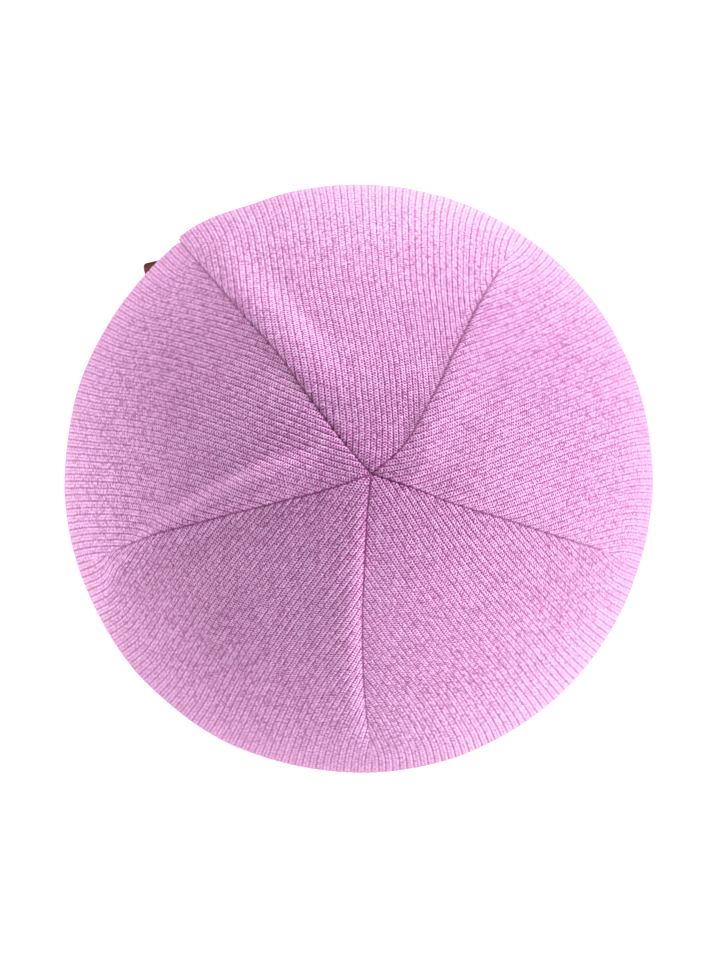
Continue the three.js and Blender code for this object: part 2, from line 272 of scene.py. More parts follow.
def rib_spread(share):
    """Share of a gore's ribs that lie between its seams at a share of the way out."""
    share = np.asarray(share, float)
    free = SPREAD_LINEAR * share - SPREAD_CUBIC * share**3
    near = np.clip(1 - np.abs(free - 1) / SPREAD_SOFTNESS, 0, 1)
    return np.minimum(free, 1) - near**2 * SPREAD_SOFTNESS / 4


PARALLEL_UNTIL = 0.5  # up to this share of the way out the ribs run parallel; further out they fan
FANNED_FROM = 0.95
RIB_PITCH = 1.93 * MM


def gore_lean(gore):
    """How many ribs a gore's ribs have strayed sideways at each of SHARES. Out at the rim it is none."""
    leans = np.interp(SHARES, (*LEAN_STOPS, SEAM_END), (*SEAMS[gore]["leans"], 0))
    leans[SHARES > SEAM_END] = 0
    strayed = np.cumsum(np.tan(np.radians(leans))) * (SHARES[1] - SHARES[0]) * RIM_RADIUS / RIB_PITCH
    return strayed - strayed[-1]


def across_gore(gore, wales, wale, share):
    """Where a rib is between the two seams, from 0 to 1. Beyond these it has been cut off."""
    start, end = gore_edges(gore, share)
    full_start, full_end = gore_edges(gore, 1.0)
    fan = np.maximum(1 - smooth(PARALLEL_UNTIL, FANNED_FROM, share), 1e-3) * (end - start) / 2
    left = wales * rib_spread(share) * (end - start) / (full_end - full_start) * np.sin(fan) / fan
    strayed = np.interp(share, SHARES, gore_lean(gore))
    place = 2 * (wale + strayed) / np.maximum(left, 1e-6)
    return 0.5 + np.where(
        np.abs(place) < 1, np.arcsin(np.clip(place, -1, 1) * np.sin(fan)) / fan / 2, place / 2
    )


class Outline:
    """The body's outline from the crown to its lower edge, by distance along it."""

    DOME_SAMPLES = 500
    BULGE_SAMPLES = 60

    def __init__(self, form):
        rim_level = CUFF_TOP + form.bulge_height
        turn = np.linspace(0, math.pi / 2, self.DOME_SAMPLES)
        share = np.sin(turn)
        level = rim_level + form.dome_height * np.clip(np.cos(turn), 0, 1) ** (2 / form.dome_power)
        down = np.linspace(0, 1, self.BULGE_SAMPLES)[1:]
        drawn = smooth(0, 1, down)
        foot = np.linspace(CUFF_TOP, form.hem_level, self.BULGE_SAMPLES)[1:]
        self.radius = np.concatenate([share, 1 - drawn * form.tuck / RIM_RADIUS, np.full(foot.size, 1.0)]) * RIM_RADIUS
        self.radius[-foot.size :] = RIM_RADIUS - form.tuck
        self.level = np.concatenate([level, rim_level - down * form.bulge_height, foot])
        self.share = np.concatenate([share, np.ones(down.size + foot.size)])
        self.relief = np.concatenate([np.ones(share.size), 1 - drawn, np.zeros(foot.size)])
        steps = np.hypot(np.diff(self.radius), np.diff(self.level))
        self.arc = np.concatenate([[0], np.cumsum(steps)])
        across = np.gradient(self.radius, self.arc)
        down_way = np.gradient(self.level, self.arc)
        length = np.hypot(across, down_way)
        self.out = -down_way / length
        self.up = across / length
        self.length = self.arc[-1]
        self.dome_end = share.size

    def at(self, arc, values):
        return np.interp(arc, self.arc, values)

    def arc_of_share(self, share):
        """Distance from the crown at a share of the way out."""
        n = self.dome_end
        return np.interp(share, self.share[:n], self.arc[:n])


FOLD_DISTANCES = np.linspace(-30, 30, 601) * MM
FOLD_SMOOTHING = 21  # samples of FOLD_DISTANCES over which a fold's bends are rounded
CROSSING_SHARES = (0.2, 0.35, 0.5, 0.65, 0.8, 0.92)
CROSSING = (-11, -10, -7, -3, 2, 4)  # distances in mm from the left seam at which a fold crosses over it


def fold_profile(seam):
    """Height that a seam gives the knit at each of FOLD_DISTANCES."""
    heights = np.interp(FOLD_DISTANCES / MM, FOLD_STOPS, FOLDS[SEAMS[seam]["name"]]) * MM
    window = np.hanning(FOLD_SMOOTHING)
    return np.convolve(heights, window / window.sum(), mode="same")


FOLD_PROFILES = [fold_profile(seam) for seam in range(len(SEAMS))]


def seam_relief(form, seam, side, distance, share):
    """Height that a seam gives the knit beside it. side is -1 on the near side of the seam and 1 on the far side."""
    signed = side * distance
    strength = smooth(0.15 if seam == MAIN_SEAM else 0, 0.5 if seam == MAIN_SEAM else 0.25, share)
    strength = strength * (1 - smooth(0.68, 0.95, share))
    height = strength * np.interp(signed, FOLD_DISTANCES, FOLD_PROFILES[seam])
    crease = 1 - smooth(SEAM_END - SEAM_FADE / 3, SEAM_END, share)
    if seam == MAIN_SEAM:
        crease = np.ones_like(share)
    height = height - CREASES[SEAMS[seam]["name"]] * MM * crease * np.exp(-distance / form.crease_width)
    if seam == LEFT_SEAM:
        middle = np.interp(share, CROSSING_SHARES, CROSSING) * MM
        beyond = signed - middle
        rise = smooth(-4.5 * MM, 4.5 * MM, beyond) * (1 - smooth(0, form.fold_reach, beyond))
        height = height + form.fold_rise * smooth(0.1, 0.3, share) * (1 - smooth(0.8, 0.93, share)) * rise
    if seam == MAIN_SEAM:
        grown = smooth(0.65, 0.95, share)
        if side < 0:
            height = height + grown * form.lap_rise * (1 - smooth(form.lap_top, form.lap_reach, distance))
        else:
            height = height + grown * form.lap_rest * np.exp(-distance / form.lap_rest_reach)
    return height


def knit_relief(form, gore, across, share):
    """How far the knit stands out of the plain dome at a place across a gore."""
    start, end = gore_edges(gore, share)
    width = (end - start) * share * RIM_RADIUS
    puff = smooth(0, PUFF_GROWN, share) * (1 - smooth(SEAM_END - SEAM_FADE, 1, share))
    height = form.puff * puff * np.sin(math.pi * across)
    height = height + seam_relief(form, gore, 1, across * width, share)
    following = (gore + 1) % len(SEAMS)
    return height + seam_relief(form, following, -1, (1 - across) * width, share)


def body_surface(form, outline, gore, arc, across):
    """Points of the body's outside and the directions in which it faces."""
    share = outline.at(arc, outline.share)
    start, end = gore_edges(gore, share)
    angle = start + (end - start) * across
    facing = np.stack(
        [
            np.cos(angle) * outline.at(arc, outline.out),
            np.sin(angle) * outline.at(arc, outline.out),
            outline.at(arc, outline.up),
        ],
        axis=1,
    )
    radius = outline.at(arc, outline.radius)
    points = np.stack(
        [
            form.crown[0] * (1 - share) + np.cos(angle) * radius,
            form.crown[1] * (1 - share) + np.sin(angle) * radius,
            outline.at(arc, outline.level)
            - form.peak * (1 - np.exp(-radius / form.peak_reach)) * (1 - smooth(0.45, 0.95, share))
            - form.dimple_depth * np.exp(-((radius / form.dimple_radius) ** 2)),
        ],
        axis=1,
    )
    relief = knit_relief(form, gore, across, share) * outline.at(arc, outline.relief)
    return points + facing * relief[:, None], facing


# Meshes


def make_piece(name, points, faces, uv, attributes, sharp=None):
    """A mesh object with a UV map called knit and named point attributes."""
    mesh = bpy.data.meshes.new(name)
    mesh.from_pydata(points.tolist(), [], faces)
    corners = np.empty(len(mesh.loops), np.int32)
    mesh.loops.foreach_get("vertex_index", corners)
    layer = mesh.uv_layers.new(name="knit")
    layer.data.foreach_set("uv", uv[corners].astype(np.float32).ravel())
    for label, values in attributes.items():
        vector = values.ndim == 2
        attribute = mesh.attributes.new(label, "FLOAT_VECTOR" if vector else "FLOAT", "POINT")
        attribute.data.foreach_set("vector" if vector else "value", values.astype(np.float32).ravel())
    mesh.polygons.foreach_set("use_smooth", np.ones(len(faces), bool))
    if sharp is not None:
        ends = np.empty(len(mesh.edges) * 2, np.int32)
        mesh.edges.foreach_get("vertices", ends)
        ends = np.sort(ends.reshape(-1, 2), axis=1)
        wanted = np.sort(np.asarray(sharp), axis=1)
        keys = ends[:, 0].astype(np.int64) * len(points) + ends[:, 1]
        is_sharp = np.isin(keys, wanted[:, 0].astype(np.int64) * len(points) + wanted[:, 1])
        mesh.attributes.new("sharp_edge", "BOOLEAN", "EDGE").data.foreach_set("value", is_sharp)
    piece = bpy.data.objects.new(name, mesh)
    bpy.context.scene.collection.objects.link(piece)
    return piece


def boundary_edges(faces, count):
    """The directed edges of faces that no other face shares."""
    starts, ends = [], []
    for face in faces:
        starts.extend(face)
        ends.extend(face[1:])
        ends.append(face[0])
    starts = np.asarray(starts, np.int64)
    ends = np.asarray(ends, np.int64)
    alone = ~np.isin(starts * count + ends, ends * count + starts)
    return np.stack([starts[alone], ends[alone]], axis=1)


def thicken(points, facing, faces, wall):
    """Closes a sheet into a wall: points, faces and the edges where its two sides meet its rim."""
    count = len(points)
    inner = points - facing * wall
    rim = boundary_edges(faces, count)
    closed = list(faces)
    closed += [tuple(i + count for i in reversed(face)) for face in faces]
    closed += [(b, a, a + count, b + count) for a, b in rim.tolist()]
    sharp = np.concatenate([rim, rim + count])
    return np.concatenate([points, inner]), closed, sharp


def rib_end(gore, wales, wale):
    """Share of the way out at which a rib line meets the seam that cuts it off."""
    across = across_gore(gore, wales, wale, SHARES)
    over = np.maximum(-across, across - 1)
    beyond = np.nonzero(over > 1e-6)[0]
    if beyond.size == 0:
        return 0.0
    last = min(beyond[-1], SHARES.size - 2)
    part = over[last] / max(over[last] - over[last + 1], 1e-12)
    return float(SHARES[last] + min(part, 1.0) * (SHARES[last + 1] - SHARES[last]))


def gore_sheet(form, knit, outline, gore):
    """One gore as a single sheet, with a mesh column along each rib line, cut off where the seam cuts the rib."""
    wales = gore_wales(gore, knit.ribs)
    wale = np.arange(wales * knit.facets + 1) / knit.facets - wales / 2
    ends_at = np.array([rib_end(gore, wales, w) for w in wale])
    ends_at[np.argmin(ends_at)] = 0.0
    end_arc = outline.arc_of_share(ends_at)
    rows = int(outline.length / knit.row_step)
    row_arc = np.linspace(0, outline.length, rows + 1)[1:]
    first = np.searchsorted(row_arc, end_arc + knit.row_step / 4)
    base = np.concatenate([[0], np.cumsum(rows - first + 1)])[:-1]

    arc = np.concatenate([np.concatenate([[end_arc[i]], row_arc[first[i] :]]) for i in range(wale.size)])
    wale_of = np.repeat(wale, rows - first + 1)
    share = outline.at(arc, outline.share)
    across = np.clip(across_gore(gore, wales, wale_of, share), 0, 1)
    points, facing = body_surface(form, outline, gore, arc, across)

    course = np.zeros(arc.size)
    for i in range(wale.size):
        column = slice(base[i], base[i] + rows - first[i] + 1)
        steps = np.linalg.norm(np.diff(points[column], axis=0), axis=1)
        course[column] = np.concatenate([np.cumsum(steps[::-1])[::-1], [0]]) / knit.stitch

    faces = []
    for i in range(wale.size - 1):
        here = base[i] + 1 - first[i]
        there = base[i + 1] + 1 - first[i + 1]
        top = max(first[i], first[i + 1])
        j = np.arange(top, rows - 1)
        faces += np.stack([here + j, here + j + 1, there + j + 1, there + j], axis=1).tolist()
        end_here, end_there = int(base[i]), int(base[i + 1])
        if first[i] <= first[i + 1]:
            chain = [end_here] + [int(here + k) for k in range(first[i], top + 1)] + [int(there + top)]
            faces += [(end_there, a, b) for a, b in zip(chain, chain[1:])]
        else:
            chain = [int(here + top)] + [int(there + k) for k in range(top, first[i + 1] - 1, -1)] + [end_there]
            faces += [(end_here, a, b) for a, b in zip(chain, chain[1:])]
    faces = [tuple(face) for face in faces]
    start, end = gore_edges(gore, share)
    from_seam = np.minimum(across, 1 - across) * (end - start) * share * RIM_RADIUS
    nearest = np.where(across < 0.5, gore == MAIN_SEAM, gore + 1 == MAIN_SEAM)
    fades = np.where(nearest, 1.2, SEAM_END)
    return {
        "from_seam": from_seam + 20 * MM * smooth(fades - 0.1, fades, share),
        "points": points,
        "facing": facing,
        "faces": faces,
        "wale": wale_of + wales / 2,
        "course": course,
        "share": share,
        "level": outline.at(arc, outline.level),
    }


def join_gores(mesh, sheet, starts_at_main, ends_at_main):
    """Gives both edges of a gore the normals of unbroken knit where no seam parts it from the next gore."""
    count, first_faces = len(sheet["points"]), len(sheet["faces"])
    whole = np.zeros(count, bool)
    outward = sheet["share"] > SEAM_END
    if not starts_at_main:
        whole |= outward & (sheet["wale"] < 1e-6)
    if not ends_at_main:
        whole |= outward & (sheet["wale"] > sheet["wale"].max() - 1e-6)
    totals = np.empty(len(mesh.polygons), np.int32)
    mesh.polygons.foreach_get("loop_total", totals)
    outer_corners = int(totals[:first_faces].sum())
    corners = np.empty(len(mesh.loops), np.int32)
    mesh.loops.foreach_get("vertex_index", corners)
    normals = np.zeros((len(mesh.loops), 3))
    outer = corners[:outer_corners]
    normals[:outer_corners][whole[outer]] = sheet["facing"][outer[whole[outer]]]
    mesh.normals_split_custom_set(normals.tolist())


# Node trees


class Wires:
    """Short calls for adding nodes to a tree. An input is a number, a vector or another node's output."""

    def __init__(self, tree):
        self.tree = tree

    def put(self, socket, value):
        if isinstance(value, bpy.types.NodeSocket):
            self.tree.links.new(value, socket)
        elif value is not None:
            socket.default_value = value

    def node(self, kind, inputs=None, **settings):
        made = self.tree.nodes.new(kind)
        for key, value in settings.items():
            setattr(made, key, value)
        for key, value in (inputs or {}).items():
            self.put(made.inputs[key], value)
        return made

    def math(self, operation, *values):
        made = self.node("ShaderNodeMath", operation=operation)
        for socket, value in zip(made.inputs, values):
            self.put(socket, value)
        return made.outputs[0]

    def vector_math(self, operation, *values):
        made = self.node("ShaderNodeVectorMath", operation=operation)
        for socket, value in zip(made.inputs, values):
            self.put(socket, value)
        return made.outputs["Vector"]

    def scaled(self, vector, factor):
        made = self.node("ShaderNodeVectorMath", operation="SCALE")
        self.put(made.inputs[0], vector)
        self.put(made.inputs["Scale"], factor)
        return made.outputs["Vector"]

    def ramp(self, value, low, high, at_low, at_high):
        """A number that goes smoothly from at_low to at_high as value goes from low to high."""
        given = {"Value": value, "From Min": low, "From Max": high, "To Min": at_low, "To Max": at_high}
        return self.node("ShaderNodeMapRange", given, interpolation_type="SMOOTHSTEP").outputs[0]

    def attribute(self, name, kind="FLOAT"):
        made = self.node("GeometryNodeInputNamedAttribute", {"Name": name}, data_type=kind)
        return next(out for out in made.outputs if out.enabled and out.name == "Attribute")


def geometry_tree(name, inputs):
    """An empty Geometry Nodes tree with a geometry input and output and the named inputs given."""
    tree = bpy.data.node_groups.new(name, "GeometryNodeTree")
    tree.interface.new_socket("Geometry", in_out="INPUT", socket_type="NodeSocketGeometry")
    for label, kind, default in inputs:
        socket = tree.interface.new_socket(label, in_out="INPUT", socket_type=kind)
        if default is not None:
            socket.default_value = default
    tree.interface.new_socket("Geometry", in_out="OUTPUT", socket_type="NodeSocketGeometry")
    wires = Wires(tree)
    return tree, wires, wires.node("NodeGroupInput").outputs


def end_tree(wires, geometry, material):
    """Ends a tree in Realize Instances and Set Material."""
    real = wires.node("GeometryNodeRealizeInstances", {"Geometry": geometry})
    finished = wires.node("GeometryNodeSetMaterial", {"Geometry": real.outputs[0], "Material": material})
    wires.node("NodeGroupOutput", {"Geometry": finished.outputs[0]})


def apply_tree(piece, tree, values):
    """Runs a Geometry Nodes tree on a piece and keeps the result as its plain mesh."""
    modifier = piece.modifiers.new(tree.name, "NODES")
    modifier.node_group = tree
    for item in tree.interface.items_tree:
        if item.item_type == "SOCKET" and item.in_out == "INPUT" and item.name in values:
            modifier[item.identifier] = values[item.name]
    depsgraph = bpy.context.evaluated_depsgraph_get()
    evaluated = piece.evaluated_get(depsgraph)
    mesh = bpy.data.meshes.new_from_object(evaluated, preserve_all_data_layers=True, depsgraph=depsgraph)
    piece.modifiers.remove(modifier)
    old = piece.data
    piece.data = mesh
    bpy.data.meshes.remove(old)
    mesh.name = piece.name
    return piece


RIDGE_POWER = 0.45
RIDGE_MEAN = 0.75  # mean height of the ridge, so that the ribs stand about the plain surface
SPLIT_REACH = 0.2
WANDER_SCALE = 28.0
UNEVEN_SCALE = 420.0
UNEVEN_RIBS = 0.6  # how much the height of a rib varies, as a share


def rib_tree():
    """Raises the ribs: each point moves along the way it faces by the height of the rib at its wale."""
    tree, wires, given = geometry_tree(
        "Raise Ribs",
        [
            ("Rib Height", "NodeSocketFloat", 0.001),
            ("Rib Split", "NodeSocketFloat", 0.14),
            ("Wander", "NodeSocketFloat", 0.0003),
            ("Material", "NodeSocketMaterial", None),
        ],
    )
    wale = wires.math("FRACT", wires.attribute("wale"))
    aside = wires.math("ABSOLUTE", wires.math("SUBTRACT", wale, 0.5))
    ridge = wires.math("POWER", wires.math("MAXIMUM", wires.math("COSINE", wires.math("MULTIPLY", aside, math.pi)), 0.0), RIDGE_POWER)
    near = wires.node(
        "ShaderNodeMapRange", {"Value": aside, "From Min": 0.0, "From Max": SPLIT_REACH, "To Min": 1.0, "To Max": 0.0}
    )
    split = wires.math("MULTIPLY", near.outputs[0], given["Rib Split"])
    height = wires.math("SUBTRACT", wires.math("SUBTRACT", ridge, split), RIDGE_MEAN)
    height = wires.math("MULTIPLY", wires.math("MULTIPLY", height, given["Rib Height"]), wires.attribute("rib"))
    place = wires.node("GeometryNodeInputPosition").outputs[0]
    uneven = wires.node("ShaderNodeTexNoise", {"Vector": place, "Scale": UNEVEN_SCALE, "Detail": 1.0}).outputs[0]
    height = wires.math("MULTIPLY", height, wires.ramp(uneven, 0.3, 0.7, 1 - UNEVEN_RIBS, 1 + UNEVEN_RIBS))
    noise = wires.node("ShaderNodeTexNoise", {"Vector": place, "Scale": WANDER_SCALE, "Detail": 1.0})
    stray = wires.math("MULTIPLY", wires.math("SUBTRACT", noise.outputs[0], 0.5), given["Wander"])
    stray = wires.math("MULTIPLY", stray, wires.math("MULTIPLY", wires.attribute("stray"), 4.0))
    offset = wires.vector_math(
        "ADD",
        wires.scaled(wires.attribute("facing", "FLOAT_VECTOR"), height),
        wires.scaled(wires.attribute("outwards", "FLOAT_VECTOR"), stray),
    )
    moved = wires.node("GeometryNodeSetPosition", {"Geometry": given["Geometry"], "Offset": offset})
    end_tree(wires, moved.outputs[0], given["Material"])
    return tree


# Materials


def new_material(name):
    """A material with a Principled shader, and the wires to build it with."""
    material = bpy.data.materials.new(name)
    material.use_nodes = True
    tree = material.node_tree
    shader = next(node for node in tree.nodes if node.type == "BSDF_PRINCIPLED")
    return material, Wires(tree), shader


YARN_TONE = 0.55  # mean place between the dark and the light yarn
# Painted shade: the furrows and the split down the middle of each rib are darkened, and the rib tops made a little
# lighter.
FURROW_SHADE = 0.95
SPLIT_SHADE = 0.45
OPEN_TONES = 0.0  # how much stronger both are out at the rim, where the ribs are spread
# Painted shade in the holes of the knit.
HOLE_SHADE = 0.55  # holes in rows down the furrows and up the middles of the ribs
LEG_TONES = 0.08  # slanting legs
CHANCE_TONES = 0.5  # how much the stitches differ from one another
FIBRE_TONES = 2.5  # how much the fibres differ
CLOUD_TONES = 0.2  # how much the yarn drifts from place to place
# Painted shade: the knit near the crown is darkened, and out at the rim a little.
CROWN_PAINTED_SHADE = -0.12  # painted shade near the crown
RIM_PAINTED_SHADE = -0.05
SEAM_TONE = 1.0  # the line of a seam is in shade
SEAM_LINE = 0.55 * MM
TUFT_TONES = 2.8  # clumps of fibre, which show where the ribs are spread
STRAY_ACROSS = 0.22  # how far a stitch strays from its row, in ribs
STRAY_ALONG = 0.9


def knit_material(name, knit):
    """Rib knit: two rows of slanting legs on each rib, holes down the furrows, heathered yarn and a soft fuzz, with
    painted shade down the furrows, the splits, the holes and the seam lines, darker near the crown and a little darker
    at the rim.
    """
    material, wires, shader = new_material(name)
    place = wires.node("ShaderNodeTexCoord").outputs["Object"]
    uneven = wires.node("ShaderNodeTexNoise", {"Vector": place, "Scale": 700.0, "Detail": 1.0}).outputs["Color"]
    uneven = wires.node("ShaderNodeSeparateXYZ", {0: uneven}).outputs
    uv = wires.node("ShaderNodeUVMap", uv_map="knit").outputs[0]
    axes = wires.node("ShaderNodeSeparateXYZ", {0: uv}).outputs
    across = wires.math("MULTIPLY_ADD", wires.math("SUBTRACT", uneven["X"], 0.5), STRAY_ACROSS, axes["X"])
    along = wires.math("MULTIPLY_ADD", wires.math("SUBTRACT", uneven["Y"], 0.5), STRAY_ALONG, axes["Y"])
    aside = wires.math("ABSOLUTE", wires.math("SUBTRACT", wires.math("FRACT", across), 0.5))
    rows = wires.math("COSINE", wires.math("MULTIPLY", along, 2 * math.pi))
    columns = wires.math("COSINE", wires.math("MULTIPLY", across, 2 * math.pi))
    legs = wires.math("COSINE", wires.math("MULTIPLY", wires.math("SUBTRACT", along, aside), 2 * math.pi))
    # Painted shade down the furrows and the splits, with the rib tops a little lighter.
    furrow = wires.ramp(aside, 0.3, 0.5, -0.18, 0.82)
    split = wires.ramp(aside, 0.0, 0.15, 0.85, -0.15)
    furrow_and_split_shade = wires.math("ADD", wires.math("MULTIPLY", furrow, FURROW_SHADE), wires.math("MULTIPLY", split, SPLIT_SHADE))
    # Out at the rim, where the ribs are spread; this also sets where the rim's painted shade falls.
    spread_and_rim_shade_mask = wires.node("ShaderNodeAttribute", attribute_name="spread_and_rim_shade").outputs["Fac"]
    furrow_and_split_shade = wires.math("MULTIPLY", furrow_and_split_shade, wires.math("MULTIPLY_ADD", spread_and_rim_shade_mask, OPEN_TONES, 1.0))
    # Painted shade in the holes.
    hole_shade_pattern = wires.math("MULTIPLY", wires.math("MULTIPLY", rows, columns), HOLE_SHADE)
    yarn = wires.math("SUBTRACT", wires.math("SUBTRACT", YARN_TONE, furrow_and_split_shade), hole_shade_pattern)
    yarn = wires.math("MULTIPLY_ADD", legs, LEG_TONES, yarn)
    crown_shade_mask = wires.node("ShaderNodeAttribute", attribute_name="crown_shade_mask").outputs["Fac"]
    # Painted shade: darker near the crown and a little darker out at the rim.
    crown_and_rim_shade = wires.math("ADD", wires.math("MULTIPLY", spread_and_rim_shade_mask, RIM_PAINTED_SHADE), wires.math("MULTIPLY", crown_shade_mask, CROWN_PAINTED_SHADE))

    stitches = wires.node("ShaderNodeCombineXYZ")
    wires.put(stitches.inputs["X"], wires.math("FLOOR", wires.math("MULTIPLY", axes["X"], 2.0)))
    wires.put(stitches.inputs["Y"], wires.math("FLOOR", wires.math("SUBTRACT", axes["Y"], aside)))
    chance = wires.node("ShaderNodeTexWhiteNoise", {"Vector": stitches.outputs[0]}, noise_dimensions="2D").outputs[0]
    fibre = wires.node("ShaderNodeTexNoise", {"Vector": place, "Scale": 1700.0, "Detail": 2.0, "Roughness": 0.75})
    cloud = wires.node("ShaderNodeTexNoise", {"Vector": place, "Scale": 120.0, "Detail": 3.0, "Roughness": 0.6})
    tone = wires.math("MULTIPLY_ADD", wires.math("SUBTRACT", chance, 0.5), CHANCE_TONES, wires.math("ADD", yarn, crown_and_rim_shade))
    tone = wires.math("MULTIPLY_ADD", wires.math("SUBTRACT", fibre.outputs[0], 0.5), FIBRE_TONES, tone)
    tone = wires.math("MULTIPLY_ADD", wires.math("SUBTRACT", cloud.outputs[0], 0.5), CLOUD_TONES, tone)
    tuft = wires.node("ShaderNodeTexNoise", {"Vector": place, "Scale": 1050.0, "Detail": 1.0}).outputs[0]
    tuft = wires.math("MULTIPLY", wires.math("SUBTRACT", tuft, 0.5), wires.math("MULTIPLY", spread_and_rim_shade_mask, TUFT_TONES))
    tone = wires.math("ADD", tone, tuft)
    from_seam = wires.node("ShaderNodeAttribute", attribute_name="from_seam").outputs["Fac"]
    line = wires.ramp(from_seam, 0.0, SEAM_LINE, 1.0, 0.0)
    tone = wires.math("MULTIPLY_ADD", line, -SEAM_TONE, tone)
    ramp = wires.node("ShaderNodeValToRGB", {"Fac": tone})
    middle = ramp.color_ramp.elements.new(YARN_TONE)
    middle.color = (*knit.mid_yarn, 1)
    ramp.color_ramp.elements[0].position = 0.0
    ramp.color_ramp.elements[0].color = (*knit.dark_yarn_and_furrow_shade, 1)
    ramp.color_ramp.elements[2].position = 1.0
    ramp.color_ramp.elements[2].color = (*knit.light_yarn, 1)
    wires.put(shader.inputs["Base Color"], ramp.outputs[0])

    relief = wires.math("MULTIPLY_ADD", wires.math("SUBTRACT", fibre.outputs[0], 0.5), 0.8, yarn)
    relief = wires.math("MULTIPLY_ADD", line, -0.7, relief)
    bump = wires.node("ShaderNodeBump", {"Strength": 0.8, "Distance": 0.3 * MM, "Height": relief})
    wires.put(shader.inputs["Normal"], bump.outputs[0])
    shader.inputs["Roughness"].default_value = 1.0
    shader.inputs["Specular IOR Level"].default_value = 0.1
    shader.inputs["Sheen Weight"].default_value = 0.85
    shader.inputs["Sheen Roughness"].default_value = 0.6
    shader.inputs["Sheen Tint"].default_value = (1.0, 0.73, 0.89, 1)
    return material


def leather_material(name, colour, outer, shade):
    """Leather with pores, creases and a little wear. outer is its colour along the loop's outer side, and shade is
    how strongly its tone varies."""
    material, wires, shader = new_material(name)
    place = wires.node("ShaderNodeTexCoord").outputs["Object"]
    pores = wires.node("ShaderNodeTexVoronoi", {"Vector": place, "Scale": 2600.0}, feature="DISTANCE_TO_EDGE").outputs[0]
    cloud = wires.node("ShaderNodeTexNoise", {"Vector": place, "Scale": 420.0, "Detail": 4.0, "Roughness": 0.65}).outputs[0]
    ramp = wires.node("ShaderNodeValToRGB", {"Fac": cloud})
    ramp.color_ramp.elements[0].position = 0.3
    ramp.color_ramp.elements[0].color = (*[c * (1 - shade) for c in colour], 1)
    ramp.color_ramp.elements[1].position = 0.7
    ramp.color_ramp.elements[1].color = (*[min(c * (1 + shade), 1) for c in colour], 1)
    outer_side = wires.node("ShaderNodeAttribute", attribute_name="outer_side").outputs["Fac"]
    mixed = wires.node("ShaderNodeMix", data_type="RGBA")
    wires.put(mixed.inputs[0], wires.math("MULTIPLY_ADD", wires.math("SUBTRACT", cloud, 0.5), 0.8, outer_side))
    wires.put(mixed.inputs[6], ramp.outputs[0])
    mixed.inputs[7].default_value = (*outer, 1)
    wires.put(shader.inputs["Base Color"], mixed.outputs[2])
    height = wires.math("MULTIPLY_ADD", cloud, 0.6, wires.math("MINIMUM", wires.math("MULTIPLY", pores, 4.0), 0.4))
    bump = wires.node("ShaderNodeBump", {"Strength": 0.4, "Distance": 0.12 * MM, "Height": height})
    wires.put(shader.inputs["Normal"], bump.outputs[0])
    rough = wires.node("ShaderNodeMapRange", {"Value": cloud, "To Min": 0.45, "To Max": 0.7})
    wires.put(shader.inputs["Roughness"], rough.outputs[0])
    return material


def shared_material(name, make):
    """The material of that name, made the first time it is asked for."""
    return bpy.data.materials.get(name) or make()


def knit_yarn():
    knit = bpy.context.scene.beanie_knit
    return shared_material("rib_knit", lambda: knit_material("rib_knit", knit))


# Operators


class BEANIE_OT_gores(bpy.types.Operator):
    """Build the five ribbed gores of the body"""

    bl_idname = "beanie.gores"
    bl_label = "Gores"

    def execute(self, context):
        form = context.scene.beanie_body
        knit = context.scene.beanie_knit
        outline = Outline(form)
        tree = rib_tree()
        for gore, seam in enumerate(SEAMS):
            sheet = gore_sheet(form, knit, outline, gore)
            points, faces, sharp = thicken(sheet["points"], sheet["facing"], sheet["faces"], form.wall)
            in_cuff = smooth(CUFF_TOP - 4 * MM, CUFF_TOP + 1 * MM, sheet["level"])
            near_crown = smooth(0.0, 0.06, sheet["share"])
            uv = np.stack([sheet["wale"], sheet["course"]], axis=1)
            attributes = {
                "wale": np.concatenate([sheet["wale"], sheet["wale"] + 0.5]),
                "rib": np.concatenate([in_cuff * near_crown * (1 - 0.2 * smooth(0.6, 0.95, sheet["share"])), near_crown]),
                "stray": np.concatenate([in_cuff, in_cuff]),
                "facing": np.concatenate([sheet["facing"], -sheet["facing"]]),
                "outwards": np.concatenate([sheet["facing"], sheet["facing"]]),
                # Masks for the painted shade: darker near the crown, and a little darker at the rim, where the ribs
                # are also spread.
                "spread_and_rim_shade": np.tile(smooth(0.45, 0.9, sheet["share"]), 2),
                "crown_shade_mask": np.tile(1 - smooth(0.0, 0.4, sheet["share"]), 2),
                "from_seam": np.tile(sheet["from_seam"], 2),
            }
            uv = np.concatenate([uv, uv + [0.5, 0]])
            piece = make_piece(f"knit_gore_{seam['name']}", points, faces, uv, attributes, sharp)
            apply_tree(
                piece,
                tree,
                {
                    "Rib Height": knit.rib_height,
                    "Rib Split": knit.rib_split,
                    "Wander": knit.wander,
                    "Material": knit_yarn(),
                },
            )
            join_gores(piece.data, sheet, seam is SEAMS[MAIN_SEAM], gore + 1 == MAIN_SEAM)
            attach(piece, ROOT)
            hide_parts("knit_crown")
        return {"FINISHED"}


